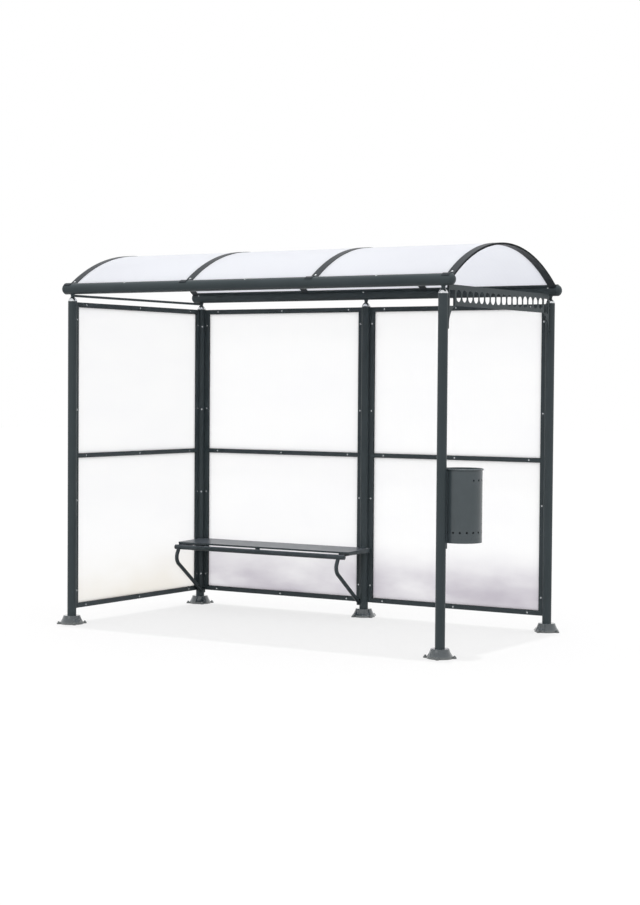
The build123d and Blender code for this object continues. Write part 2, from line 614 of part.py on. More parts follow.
# ------------------------------------------------------------------ litter bin
base_z = BIN_BOTTOM + BIN_BASE_RISE
lip_z = BIN_TOP - BIN_LIP_HEIGHT
with BuildPart() as litter_bin:
    with BuildSketch(upright(BIN_X, BIN_Y)):
        with BuildLine():
            Polyline(
                (BIN_R, BIN_TOP),
                (BIN_R - BIN_WALL, BIN_TOP),
                (BIN_R - BIN_WALL, base_z + BIN_WALL),
                (0, base_z + BIN_WALL),
                (0, base_z),
                (BIN_R - BIN_WALL, base_z),
                (BIN_R - BIN_WALL, BIN_BOTTOM),
                (BIN_R, BIN_BOTTOM),
                (BIN_R, lip_z),
            )
            ThreePointArc((BIN_R, lip_z), (BIN_R + BIN_LIP, lip_z + BIN_LIP_HEIGHT / 2), (BIN_R, BIN_TOP))
        make_face()
    revolve(axis=Axis((BIN_X, BIN_Y, 0), (0, 0, 1)))
    hole_step = 360 / BIN_HOLES
    for row_z, first, count in (
        (BIN_BOTTOM + BIN_HOLE_ROW_LOW, 0, BIN_HOLES),
        (BIN_TOP - BIN_HOLE_ROW_HIGH, -BIN_HOLES_BEFORE, BIN_HOLES - BIN_PLAIN_HOLES),
    ):
        for number in range(first, first + count):
            bearing = BIN_FIRST_HOLE + hole_step * number
            middle = (BIN_X, BIN_Y, row_z)
            outwards = (cos(radians(bearing)), sin(radians(bearing)), 0)
            with BuildSketch(Plane(origin=middle, z_dir=outwards).offset(BIN_R - 3 * BIN_WALL)):
                Circle(BIN_HOLE_R)
            extrude(amount=6 * BIN_WALL, mode=Mode.SUBTRACT)
save(litter_bin, "litter_bin")

with BuildPart() as bin_bracket:
    away = (cos(radians(BIN_BEARING)), sin(radians(BIN_BEARING)), 0)
    with BuildSketch(Plane(origin=(LENGTH, 0, BRACKET_LOW), x_dir=away, z_dir=(0, 0, 1))):
        with Locations((POST_R + BIN_LIP / 2, 0)):
            Rectangle(2 * BIN_LIP, BRACKET_WIDTH)
        Circle(POST_R + CLEARANCE, mode=Mode.SUBTRACT)
        with Locations((BIN_REACH, 0)):
            Circle(BIN_R + CLEARANCE, mode=Mode.SUBTRACT)
    extrude(amount=BRACKET_HIGH - BRACKET_LOW)
save(bin_bracket, "bin_bracket")

# -------------------------------------------------- slotted frieze, right side
face_x = LENGTH + FRIEZE_FACE
with BuildPart() as frieze:
    with BuildSketch(across(face_x - FRIEZE_THICK, MIDDLE_Y)):
        with Locations((0, (FRIEZE_TOP + FRIEZE_BOTTOM) / 2)):
            Rectangle(DEPTH - 2 * (HORN_END + CLEARANCE), FRIEZE_TOP - FRIEZE_BOTTOM)
        with Locations((0, FRIEZE_TOP - SLOT_DROP)):
            with GridLocations(SLOT_PITCH, 1, SLOTS, 1):
                SlotOverall(SLOT_HEIGHT, SLOT_WIDTH, rotation=90, mode=Mode.SUBTRACT)
    extrude(amount=FRIEZE_THICK)
save(frieze, "frieze_plate")

with BuildPart() as horns:
    for end_y, way in ((0, 1), (DEPTH, -1)):
        leg = FRIEZE_END + FRIEZE_RIB
        window = leg + HORN_WINDOW_INSET + HORN_WINDOW_WIDTH / 2
        run = HORN_END - leg
        drop = FRIEZE_BOTTOM - HORN_CURVE_FOOT
        curve_r = (run**2 + drop**2) / (2 * run)
        half = asin(drop / curve_r) / 2
        bend = (leg + curve_r * (1 - cos(half)), HORN_CURVE_FOOT + curve_r * sin(half))
        with BuildSketch(across(face_x - FRIEZE_THICK, end_y)):
            with BuildLine():
                Polyline(
                    (way * leg, HORN_CURVE_FOOT),
                    (way * leg, HORN_FOOT),
                    (way * FRIEZE_END, HORN_FOOT),
                    (way * FRIEZE_END, FRIEZE_TOP),
                    (way * HORN_END, FRIEZE_TOP),
                    (way * HORN_END, FRIEZE_BOTTOM),
                )
                ThreePointArc(
                    (way * HORN_END, FRIEZE_BOTTOM), (way * bend[0], bend[1]), (way * leg, HORN_CURVE_FOOT)
                )
            make_face()
            with Locations((way * window, WINDOW_Z)):
                Rectangle(HORN_WINDOW_WIDTH, HORN_WINDOW_HEIGHT, mode=Mode.SUBTRACT)
        extrude(amount=FRIEZE_THICK)
        with BuildSketch(across(face_x - FRIEZE_FACE, end_y)):
            with Locations((way * (FRIEZE_END + leg) / 2, (HORN_FOOT + FRIEZE_TOP) / 2)):
                Rectangle(FRIEZE_RIB, FRIEZE_TOP - HORN_FOOT)
            edge = window + HORN_WINDOW_WIDTH / 2
            with Locations((way * (edge + FRIEZE_RIB / 2), WINDOW_Z)):
                Rectangle(FRIEZE_RIB, HORN_WINDOW_HEIGHT)
        extrude(amount=FRIEZE_FACE)
save(horns, "frieze_corner_pieces")

with BuildPart() as spacers:
    for end_y, way in ((0, 1), (DEPTH, -1)):
        for up in SPACERS_UP:
            reach = FRIEZE_END - CLEARANCE
            with BuildSketch(upright(LENGTH + FRIEZE_FACE / 2, end_y + way * reach, HORN_FOOT + up)):
                Circle(SPACER_R)
            extrude(amount=way * reach)
    for end_y in (0, DEPTH):
        with BuildSketch(Plane.XY.offset(HORN_FOOT)):
            with Locations((LENGTH, end_y)):
                Circle(POST_R + CLEARANCE)
        extrude(amount=BEAM_Z - HORN_FOOT, mode=Mode.SUBTRACT)
save(spacers, "frieze_spacers")
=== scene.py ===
"""Looks of the bus shelter: its finishes, fixings, seals, floor, lamps and camera.

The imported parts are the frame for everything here, in metres, with the origin on
the ground at the axis of the front left post, +X to the front right post, +Y to
the back wall and +Z up.
"""

import logging
import math
from collections.abc import Iterable, Mapping
from dataclasses import dataclass, field
from enum import Enum

import bmesh
import bpy
from mathutils import Matrix, Vector


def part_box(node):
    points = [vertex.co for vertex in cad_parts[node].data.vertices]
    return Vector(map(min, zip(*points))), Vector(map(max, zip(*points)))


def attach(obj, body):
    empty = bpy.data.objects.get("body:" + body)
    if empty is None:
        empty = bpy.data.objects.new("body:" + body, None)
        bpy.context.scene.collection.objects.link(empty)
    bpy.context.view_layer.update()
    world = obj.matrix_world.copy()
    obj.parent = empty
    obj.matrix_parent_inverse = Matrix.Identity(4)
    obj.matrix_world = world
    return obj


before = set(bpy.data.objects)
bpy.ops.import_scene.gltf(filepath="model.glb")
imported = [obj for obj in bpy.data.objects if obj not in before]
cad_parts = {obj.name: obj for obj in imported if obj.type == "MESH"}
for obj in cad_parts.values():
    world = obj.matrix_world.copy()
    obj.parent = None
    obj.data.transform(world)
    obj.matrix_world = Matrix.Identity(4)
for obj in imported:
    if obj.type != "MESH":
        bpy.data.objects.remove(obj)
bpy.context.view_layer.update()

MM = 0.001
log = logging.getLogger("bus_shelter")

Colour = tuple[float, float, float, float]
Setting = float | int | bool | str | Colour | tuple[float, float, float] | bpy.types.NodeSocket


class Flutes(Enum):
    """Way across the flutes of a twin-wall sheet, as an axis of the shelter."""

    ALONG_X = 0
    ALONG_Y = 1


class Side(Enum):
    """Two faces of a wall: towards the people waiting, or away from them."""

    INSIDE = -1
    OUTSIDE = 1


# ------------------------------------------------------------------ shared tools
def linear(colour: str) -> Colour:
    """Turn a colour as written into the values that the shaders take.

    Args:
        colour: sRGB colour as "#rrggbb".

    Returns:
        Linear red, green and blue, with an alpha of 1.
    """
    parts = [int(colour[i : i + 2], 16) / 255 for i in (1, 3, 5)]
    red, green, blue = (p / 12.92 if p <= 0.04045 else ((p + 0.055) / 1.055) ** 2.4 for p in parts)
    return red, green, blue, 1.0


def add_node(
    tree: bpy.types.NodeTree,
    kind: str,
    inputs: Mapping[str | int, Setting] | None = None,
    **settings: Setting,
) -> bpy.types.Node:
    """Add a shader node with its settings, values and links.

    Args:
        tree: Node tree of the material or world.
        kind: Blender's name for the kind of node.
        inputs: Value or linked output for each input socket, by name or number.
        settings: Other properties of the node, such as data_type.

    Returns:
        The new node.
    """
    node = tree.nodes.new(kind)
    for name, value in settings.items():
        setattr(node, name, value)
    for socket, value in (inputs or {}).items():
        if isinstance(value, bpy.types.NodeSocket):
            tree.links.new(value, node.inputs[socket])
        else:
            node.inputs[socket].default_value = value
    return node


def blank_material(name: str) -> tuple[bpy.types.Material, bpy.types.NodeTree]:
    """Make a node material with nothing in it.

    Args:
        name: Name of the finish.

    Returns:
        The material and its empty node tree.
    """
    material = bpy.data.materials.new(name)
    material.use_nodes = True
    material.node_tree.nodes.clear()
    return material, material.node_tree


def noise(
    tree: bpy.types.NodeTree, place: bpy.types.NodeSocket, size: float, detail: float, roughness: float = 0.5,
) -> bpy.types.NodeSocket:
    """Add a noise.

    Args:
        tree: Node tree that it joins.
        place: Coordinates that it follows.
        size: Length in metres over which it changes.
        detail: How many finer layers it has.
        roughness: How strong the finer layers are.

    Returns:
        Its value, from 0 to 1.
    """
    settings = {"Vector": place, "Scale": 1 / size, "Detail": detail, "Roughness": roughness}
    return add_node(tree, "ShaderNodeTexNoise", settings).outputs["Fac"]


def ramp(
    tree: bpy.types.NodeTree, value: bpy.types.NodeSocket, source: tuple[float, float], target: tuple[float, float],
    **settings: Setting,
) -> bpy.types.NodeSocket:
    """Map a value from one range to another.

    Args:
        tree: Node tree that the node joins.
        value: The value.
        source: Its range.
        target: Range of the result.
        settings: Other properties of the node.

    Returns:
        The result, which stays in its range.
    """
    inputs = {"Value": value, "From Min": source[0], "From Max": source[1], "To Min": target[0], "To Max": target[1]}
    return add_node(tree, "ShaderNodeMapRange", inputs, **settings).outputs[0]


def multiply(
    tree: bpy.types.NodeTree, first: bpy.types.NodeSocket, second: bpy.types.NodeSocket | float,
) -> bpy.types.NodeSocket:
    """Give the product of two values, of which the second may be a number."""
    return add_node(tree, "ShaderNodeMath", {0: first, 1: second}, operation="MULTIPLY").outputs[0]


def blend(
    tree: bpy.types.NodeTree, share: bpy.types.NodeSocket,
    first: bpy.types.NodeSocket | str, second: bpy.types.NodeSocket | str,
) -> bpy.types.NodeSocket:
    """Blend two colours.

    Args:
        tree: Node tree that the node joins.
        share: Share of the second colour.
        first: First colour, as "#rrggbb" or a node's output.
        second: Second colour, likewise.

    Returns:
        The blended colour.
    """
    colours = {socket: linear(c) if isinstance(c, str) else c for socket, c in ((6, first), (7, second))}
    return add_node(tree, "ShaderNodeMix", {0: share, **colours}, data_type="RGBA").outputs[2]


def relief(
    tree: bpy.types.NodeTree, height: bpy.types.NodeSocket, strength: float, depth: float,
) -> bpy.types.NodeSocket:
    """Turn heights from 0 to 1 into a bumped normal.

    Args:
        tree: Node tree that the node joins.
        height: The heights.
        strength: Share of the bump that shows.
        depth: Length in metres of a height of 1.

    Returns:
        The normal.
    """
    return add_node(tree, "ShaderNodeBump", {"Height": height, "Strength": strength, "Distance": depth}).outputs[0]


def plain_share(tree: bpy.types.NodeTree, seen: float) -> bpy.types.NodeSocket:
    """Tell how much plain white a ray meets: all of it in reflections and through sheets.

    Args:
        tree: Node tree that the nodes join.
        seen: Share for the camera's own rays.

    Returns:
        The share, which is 0 for rays that light the shelter.
    """
    rays = add_node(tree, "ShaderNodeLightPath").outputs
    share = multiply(tree, rays["Is Camera Ray"], seen)
    for ray in ("Is Glossy Ray", "Is Transmission Ray"):
        share = add_node(tree, "ShaderNodeMath", {0: share, 1: rays[ray]}, operation="MAXIMUM").outputs[0]
    return share


def stamp(target: bmesh.types.BMesh, shape: bpy.types.Mesh, places: Iterable[Matrix]) -> None:
    """Add a copy of a shape to a mesh at each place.

    Args:
        target: Mesh that the copies join.
        shape: The shape, about its own origin.
        places: Where each copy goes.
    """
    for place in places:
        before = len(target.verts)
        target.from_mesh(shape)
        target.verts.ensure_lookup_table()
        bmesh.ops.transform(target, matrix=place, verts=target.verts[before:])


def facing(point: Vector, outwards: Vector, turn: float = 0.0) -> Matrix:
    """Place a shape at a point with its +Z along a direction.

    Args:
        point: Where its origin goes.
        outwards: Direction of its +Z.
        turn: Turn about its own +Z in degrees, made first.

    Returns:
        The matrix that does so.
    """
    aim = outwards.to_track_quat("Z", "Y").to_matrix().to_4x4()
    return Matrix.Translation(point) @ aim @ Matrix.Rotation(math.radians(turn), 4, "Z")


def lathe(bm: bmesh.types.BMesh, profile: Iterable[tuple[float, float]], steps: int) -> None:
    """Turn a profile once round the Z axis and close its two ends.

    Args:
        bm: Mesh that gets the turned shape.
        profile: Radius and height of each point, from one end to the other.
        steps: How many steps the turn takes.
    """
    points = [bm.verts.new((radius, 0.0, height)) for radius, height in profile]
    edges = [bm.edges.new(pair) for pair in zip(points, points[1:])]
    bmesh.ops.spin(
        bm, geom=points + edges, cent=(0, 0, 0), axis=(0, 0, 1), dvec=(0, 0, 0),
        angle=math.tau, steps=steps, use_merge=True, use_duplicate=False,
    )
    bmesh.ops.remove_doubles(bm, verts=bm.verts[:], dist=1e-6)
    bmesh.ops.holes_fill(bm, edges=[e for e in bm.edges if e.is_boundary], sides=0)
    bmesh.ops.recalc_face_normals(bm, faces=bm.faces[:])


def kept_shape(bm: bmesh.types.BMesh, name: str) -> bpy.types.Mesh:
    """Turn a finished bmesh into a mesh that can be stamped, in the same order each run.

    Args:
        bm: The shape, which is freed.
        name: Name of the mesh.

    Returns:
        The mesh.
    """
    places = sorted(bm.verts, key=lambda v: tuple(v.co))
    bm.verts.sort(key={v: rank for rank, v in enumerate(places)}.get)
    bm.verts.index_update()
    faces = sorted(bm.faces, key=lambda f: sorted(v.index for v in f.verts))
    bm.faces.sort(key={f: rank for rank, f in enumerate(faces)}.get)
    mesh = bpy.data.meshes.new(name)
    bm.to_mesh(mesh)
    bm.free()
    return mesh


def finish_piece(
    bm: bmesh.types.BMesh, name: str, material: bpy.types.Material,
    smooth_under: float = 40.0,
) -> bpy.types.Object:
    """Turn a finished bmesh, already in place, into a piece of the shelter.

    Args:
        bm: The shape, which is freed.
        name: Name of the piece.
        material: Its finish.
        smooth_under: Edges bent by less than this many degrees are shaded smooth.

    Returns:
        The piece, riding on the shelter.
    """
    for face in bm.faces:
        face.smooth = True
    for edge in bm.edges:
        edge.smooth = len(edge.link_faces) == 2 and edge.calc_face_angle(0.0) < math.radians(smooth_under)
    mesh = kept_shape(bm, name)
    mesh.materials.append(material)
    piece = bpy.data.objects.new(name, mesh)
    bpy.context.scene.collection.objects.link(piece)
    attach(piece, "root")
    log.info("made %s: %d faces, %s", name, len(mesh.polygons), material.name)
    return piece


def dress(names: Iterable[str], material: bpy.types.Material) -> None:
    """Give carried-over parts their finish.

    Args:
        names: The parts' names.
        material: The finish.
    """
    for name in names:
        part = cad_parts[name]
        part.data.materials.clear()
        part.data.materials.append(material)
        log.info("dressed %s: %s", name, material.name)


def span(name: str, axis: int) -> tuple[float, float]:
    """Give the lowest and highest place of a part along one axis."""
    low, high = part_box(name)
    return low[axis], high[axis]


def middle(name: str) -> Vector:
    """Give the middle of a part's box."""
    low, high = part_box(name)
    return (low + high) / 2


# ----------------------------------------------------------------------- finishes
@dataclass(frozen=True)
class PowderCoat:
    """Satin polyester powder coat, sprayed dry and stoved on steel or aluminium.

    To the eye it is a soft sheen with a fine dimple, a slow drift in tone where
    the film is thicker, and a pale bloom on whatever faces the sky, partly dust
    and partly painted sky light that lightens the tops.
    """

    name: str
    colour: str
    # pale colour of the thinnest film, and of the dust and painted sky light on the tops
    bloom: str
    roughness: tuple[float, float] = (0.37, 0.49)   # where the film is thinnest and thickest
    dust_and_top_light: float = 0.35       # share of the bloom on a level top: dust, and painted sky light
    dust_and_top_light_from: float = 0.55  # how far up a face looks, of 1, before any dust or painted sky light lies on it
    thin: float = 0.12       # share of the bloom where the film is thinnest
    shine: float = 0.22      # specular level, under the plain 0.5 because the texture breaks it up
    dimple: float = 9 * MM   # a real dimple is 1 to 2 mm wide, which is drawn coarser to show
    dimple_depth: float = 0.4 * MM
    bump: float = 0.12       # share of the dimple that shows
    drift: float = 420 * MM  # length over which the film's tone changes

    def material(self) -> bpy.types.Material:
        """Build the node material.

        Returns:
            The material.
        """
        material, tree = blank_material(self.name)
        place = add_node(tree, "ShaderNodeTexCoord").outputs["Object"]
        drift = noise(tree, place, self.drift, 3.0, 0.6)
        dimple = noise(tree, place, self.dimple, 2.0)
        body = blend(tree, ramp(tree, drift, (0.3, 0.7), (0.0, self.thin)), self.colour, self.bloom)
        way = add_node(tree, "ShaderNodeSeparateXYZ", {0: add_node(tree, "ShaderNodeNewGeometry").outputs["Normal"]})
        # Faces turned up get the bloom: partly dust, partly painted sky light on the tops.
        up = ramp(tree, way.outputs["Z"], (self.dust_and_top_light_from, 1.0), (0.0, self.dust_and_top_light))
        shader = add_node(
            tree, "ShaderNodeBsdfPrincipled",
            {
                "Base Color": blend(tree, multiply(tree, up, dimple), body, self.bloom),
                "Roughness": ramp(tree, drift, (0.25, 0.75), self.roughness),
                "IOR": 1.5,
                "Normal": relief(tree, dimple, self.bump, self.dimple_depth),
                "Specular IOR Level": self.shine,
            },
        )
        add_node(tree, "ShaderNodeOutputMaterial", {"Surface": shader.outputs[0]})
        return material


@dataclass(frozen=True)
class GlossCastIron:
    """Sand-cast iron under a thick gloss coat.

    To the eye the casting's grain still shows as a shallow pebble under a wet
    looking film that catches long bright highlights, with grime in the low parts.
    """

    name: str
    colour: str
    grime: str
    grain: float = 11 * MM   # sand grain prints at 1 mm, drawn coarser to show
    grain_depth: float = 0.6 * MM
    bump: float = 0.18            # share of the grain that shows
    roughness: tuple[float, float] = (0.14, 0.28)   # in the grain's low and high parts
    film_roughness: float = 0.05
    grimy: float = 0.6            # most that the grime covers
    grime_from: float = 22 * MM   # height where the grime is gone
    grime_to: float = 4 * MM      # and where it is fullest

    def material(self) -> bpy.types.Material:
        """Build the node material.

        Returns:
            The material.
        """
        material, tree = blank_material(self.name)
        place = add_node(tree, "ShaderNodeTexCoord").outputs["Object"]
        grain = noise(tree, place, self.grain, 4.0, 0.6)
        height = add_node(tree, "ShaderNodeSeparateXYZ", {0: place}).outputs["Z"]
        low = ramp(tree, height, (self.grime_from, self.grime_to), (0.0, self.grimy))
        shader = add_node(
            tree, "ShaderNodeBsdfPrincipled",
            {
                "Base Color": blend(tree, multiply(tree, low, grain), self.colour, self.grime),
                "Roughness": ramp(tree, grain, (0.0, 1.0), self.roughness),
                "IOR": 1.5,
                "Normal": relief(tree, grain, self.bump, self.grain_depth),
                "Coat Weight": 1.0,
                "Coat Roughness": self.film_roughness,
            },
        )
        add_node(tree, "ShaderNodeOutputMaterial", {"Surface": shader.outputs[0]})
        return material


@dataclass(frozen=True)
class BrightMetal:
    """Bare bright metal, such as polished stainless steel or zinc plate.

    To the eye polished stainless is a near mirror with faint turning rings, and
    zinc plate is duller, with a fine crystal mottle.
    """

    name: str
    colour: str
    shade: str
    roughness: tuple[float, float]   # in the grain's low and high parts
    grain: float                     # length over which the mottle changes
    bump: float = 0.1                # share of the grain that shows
    bump_depth: float = 0.2 * MM
    stretch: float = 4.0             # how much finer the grain is upwards, as turning rings are

    def material(self) -> bpy.types.Material:
        """Build the node material.

        Returns:
            The material.
        """
        material, tree = blank_material(self.name)
        place = add_node(tree, "ShaderNodeTexCoord").outputs["Object"]
        flat = add_node(tree, "ShaderNodeMapping", {"Vector": place, "Scale": (1.0, 1.0, self.stretch)})
        grain = noise(tree, flat.outputs[0], self.grain, 3.0)
        shader = add_node(
            tree, "ShaderNodeBsdfPrincipled",
            {
                "Base Color": blend(tree, grain, self.colour, self.shade),
                "Metallic": 1.0,
                "Roughness": ramp(tree, grain, (0.0, 1.0), self.roughness),
                "Normal": relief(tree, grain, self.bump, self.bump_depth),
            },
        )
        add_node(tree, "ShaderNodeOutputMaterial", {"Surface": shader.outputs[0]})
        return material


@dataclass(frozen=True)
class TwinWallSheet:
    """Opal twin-wall polycarbonate, extruded with a web between its two skins.

    To the eye it is a milky sheet that glows with the light behind it, ruled by
    faint straight flutes. Soft clouds of painted shade stand for things behind it
    showing through, and a band of painted shade along its foot stands for the
    ground behind it.
    """

    name: str
    colour: str
    cloud: str
    # painted shade of the ground behind the sheet, seen through its foot
    painted_ground_shade: str
    flutes: Flutes
    pitch: float = 26 * MM        # real webs stand 6 mm apart, drawn coarser to show
    clouding: float = 0.2         # share of the cloud colour, painted shade of things behind the sheet, where the clouds are densest
    cloud_size: float = 384.6 * MM
    cloud_stretch: tuple[float, float, float] = (0.55, 0.55, 1.4)   # clouds lie wider than tall
    painted_ground_shade_from: float = 0.0      # height in metres where the painted shade of the ground behind is gone
    painted_ground_shade_to: float = -1.0       # and where it is fullest
    flute_bump: float = 0.25      # share of the flutes' relief that shows
    flute_depth: float = 0.5 * MM
    flute_tone: float = 0.0625    # share of the cloud colour along a flute
    roughness: tuple[float, float] = (0.32, 0.48)
    passing: float = 0.75         # share of the light that comes through the sheet

    def material(self) -> bpy.types.Material:
        """Build the node material.

        Returns:
            The material.
        """
        material, tree = blank_material(self.name)
        place = add_node(tree, "ShaderNodeTexCoord").outputs["Object"]
        axes = add_node(tree, "ShaderNodeSeparateXYZ", {0: place}).outputs
        turn = multiply(tree, axes[self.flutes.value], math.tau / self.pitch)
        wave = add_node(tree, "ShaderNodeMath", {0: turn}, operation="SINE").outputs[0]
        rib = ramp(tree, wave, (-1.0, 1.0), (0.0, 1.0))
        level = add_node(tree, "ShaderNodeMapping", {"Vector": place, "Scale": self.cloud_stretch})
        clouds = noise(tree, level.outputs[0], self.cloud_size, 4.0, 0.55)
        # painted shade of things behind the sheet, in soft clouds
        thick = ramp(tree, clouds, (0.42, 0.75), (0.0, self.clouding))
        ribbed = add_node(tree, "ShaderNodeMath", {0: rib, 1: self.flute_tone, 2: thick}, operation="MULTIPLY_ADD")
        milk = blend(tree, ribbed.outputs[0], self.colour, self.cloud)
        # painted shade of the ground behind, fullest at the sheet's foot and broken into patches
        low = ramp(
            tree, axes["Z"], (self.painted_ground_shade_from, self.painted_ground_shade_to), (0.0, 1.0), interpolation_type="SMOOTHSTEP",
        )
        painted_shade_patches = ramp(tree, clouds, (0.3, 0.65), (0.25, 1.0))
        body = blend(tree, multiply(tree, low, painted_shade_patches), milk, self.painted_ground_shade)
        normal = relief(tree, rib, self.flute_bump, self.flute_depth)
        skin = add_node(
            tree, "ShaderNodeBsdfPrincipled",
            {
                "Base Color": body,
                "Roughness": ramp(tree, clouds, (0.0, 1.0), self.roughness),
                "IOR": 1.58,
                "Normal": normal,
            },
        )
        glow = add_node(tree, "ShaderNodeBsdfTranslucent", {"Color": body, "Normal": normal})
        shader = add_node(tree, "ShaderNodeMixShader", {0: self.passing, 1: skin.outputs[0], 2: glow.outputs[0]})
        add_node(tree, "ShaderNodeOutputMaterial", {"Surface": shader.outputs[0]})
        return material


@dataclass(frozen=True)
class RubberSeal:
    """Extruded black glazing rubber, dull, with a powdery bloom where it has weathered."""

    name: str
    colour: str
    bloom: str
    bloom_size: float = 60 * MM
    roughness: tuple[float, float] = (0.6, 0.85)   # where it is clean and where it has bloomed
    bump: float = 0.1
    bump_depth: float = 0.3 * MM

    def material(self) -> bpy.types.Material:
        """Build the node material.

        Returns:
            The material.
        """
        material, tree = blank_material(self.name)
        place = add_node(tree, "ShaderNodeTexCoord").outputs["Object"]
        bloom = noise(tree, place, self.bloom_size, 5.0)
        shader = add_node(
            tree, "ShaderNodeBsdfPrincipled",
            {
                "Base Color": blend(tree, bloom, self.colour, self.bloom),
                "Roughness": ramp(tree, bloom, (0.0, 1.0), self.roughness),
                "IOR": 1.52,
                "Normal": relief(tree, bloom, self.bump, self.bump_depth),
            },
        )
        add_node(tree, "ShaderNodeOutputMaterial", {"Surface": shader.outputs[0]})
        return material


FRAME_COAT = PowderCoat("satin_powder_coat_anthracite", "#2e373a", "#676d73", dust_and_top_light=0.1, thin=0.08)
# The bench's lilac bloom on its seat top is mostly painted sky light.
BENCH_COAT = PowderCoat("satin_powder_coat_bench", "#2c3537", "#8a8d98", (0.25, 0.37), dust_and_top_light=0.42, shine=0.14)
ROOF_BAR_COAT = PowderCoat("satin_powder_coat_roof_bars", "#1f252a", "#40464d", dust_and_top_light=0.0)
BIN_COAT = PowderCoat("satin_powder_coat_bin", "#3a4346", "#787d88", (0.19, 0.31), shine=0.5)
CAST_FOOT = GlossCastIron("gloss_coated_cast_iron", "#363e42", "#7d7f7a")
POLISHED = BrightMetal("polished_stainless_steel", "#dfe1e3", "#c6c9cc", (0.07, 0.14), 14 * MM)
SCREW_STEEL = BrightMetal("bright_stainless_screws", "#cacdcf", "#a8acae", (0.168, 0.336), 3 * MM)
ROOF_SCREW_STEEL = BrightMetal("polished_stainless_roof_screws", "#e4e6e8", "#c9ccce", (0.14, 0.28), 3 * MM)
ZINC = BrightMetal("zinc_plated_anchor_steel", "#8d9192", "#6b6f70", (0.224, 0.448), 6 * MM, bump=0.2)
SEAL = RubberSeal("black_glazing_rubber", "#15181a", "#3a3e40")
# The walls' third colour is painted shade of the ground behind, seen through the sheets' feet.
WALL_SHEET_X = TwinWallSheet(
    "opal_twin_wall_sheet_back", "#ffffff", "#f8f8fb", "#dfdce1", Flutes.ALONG_X, painted_ground_shade_from=0.62, painted_ground_shade_to=0.2,
    passing=0.93,
)
WALL_SHEET_Y = TwinWallSheet(
    "opal_twin_wall_sheet_side", "#ffffff", "#f8f8fb", "#f9f7f3", Flutes.ALONG_Y, painted_ground_shade_from=0.62, painted_ground_shade_to=0.15,
    passing=0.93,
)
ROOF_SHEET = TwinWallSheet("opal_twin_wall_sheet_roof", "#f2f3f6", "#e5e5eb", "#e5e5eb", Flutes.ALONG_X, pitch=32 * MM)


# ------------------------------------------------------------------------ fixings
@dataclass(frozen=True)
class ButtonScrew:
    """Button-head socket screw on a plain washer."""

    head_r: float = 4.8 * MM
    head_height: float = 2.7 * MM
    socket_r: float = 2.0 * MM
    socket_depth: float = 1.4 * MM
    washer_r: float = 6.6 * MM
    washer_thick: float = 1.2 * MM
    # Points up the head's side, as shares of its radius and of its height.
    dome: tuple[tuple[float, float], ...] = ((1.0, 0.0), (0.93, 0.5), (0.68, 0.88))
    steps: int = 12

    def shape(self) -> bpy.types.Mesh:
        """Build the screw head on its washer, standing on the XY plane.

        Returns:
            A mesh to stamp.
        """
        bm = bmesh.new()
        top = self.washer_thick + self.head_height
        lathe(
            bm,
            (
                (self.washer_r, 0.0),
                (self.washer_r, self.washer_thick),
                *((self.head_r * out, self.washer_thick + self.head_height * up) for out, up in self.dome),
                (self.socket_r, top),
                (self.socket_r, top - self.socket_depth),
            ),
            self.steps,
        )
        return kept_shape(bm, "button_screw")


@dataclass(frozen=True)
class AnchorNut:
    """Ground anchor's stud end, with its hexagon nut and washer."""

    washer_r: float = 10.0 * MM
    washer_thick: float = 1.6 * MM
    washer_edge: float = 0.4 * MM
    nut_r: float = 8.2 * MM
    nut_height: float = 6.0 * MM
    stud_r: float = 4.6 * MM
    stud_height: float = 11.0 * MM
    edge: float = 1.0 * MM       # bevel of the nut and of the stud's end
    washer_steps: int = 24
    stud_steps: int = 16

    def shape(self) -> bpy.types.Mesh:
        """Build the nut, washer and stud end, standing on the XY plane.

        Returns:
            A mesh to stamp.
        """
        bm = bmesh.new()
        thick, rim = self.washer_thick, self.washer_r
        side = ((rim, 0.0), (rim, thick * 0.8), (rim - self.washer_edge, thick), (self.stud_r, thick))
        lathe(bm, side, self.washer_steps)
        nut = bmesh.new()
        bmesh.ops.create_circle(nut, cap_ends=True, segments=6, radius=self.nut_r)
        bmesh.ops.translate(nut, verts=nut.verts[:], vec=(0, 0, thick))
        grown = bmesh.ops.extrude_face_region(nut, geom=nut.faces[:])
        raised = [v for v in grown["geom"] if isinstance(v, bmesh.types.BMVert)]
        bmesh.ops.translate(nut, verts=raised, vec=(0, 0, self.nut_height))
        upper = [e for e in nut.edges if all(v.co.z > thick + self.nut_height / 2 for v in e.verts)]
        bmesh.ops.bevel(
            nut, geom=upper, offset=self.edge, affect="EDGES", segments=2, profile=0.5, material=-1,
            offset_type="OFFSET",
        )
        bmesh.ops.recalc_face_normals(nut, faces=nut.faces[:])
        stamp(bm, kept_shape(nut, "anchor_nut"), [Matrix.Identity(4)])
        stud = bmesh.new()
        top = self.stud_height
        lathe(
            stud,
            ((self.stud_r, thick), (self.stud_r, top - self.edge), (self.stud_r - self.edge, top), (0.0, top)),
            self.stud_steps,
        )
        stamp(bm, kept_shape(stud, "anchor_stud"), [Matrix.Identity(4)])
        return kept_shape(bm, "anchor")


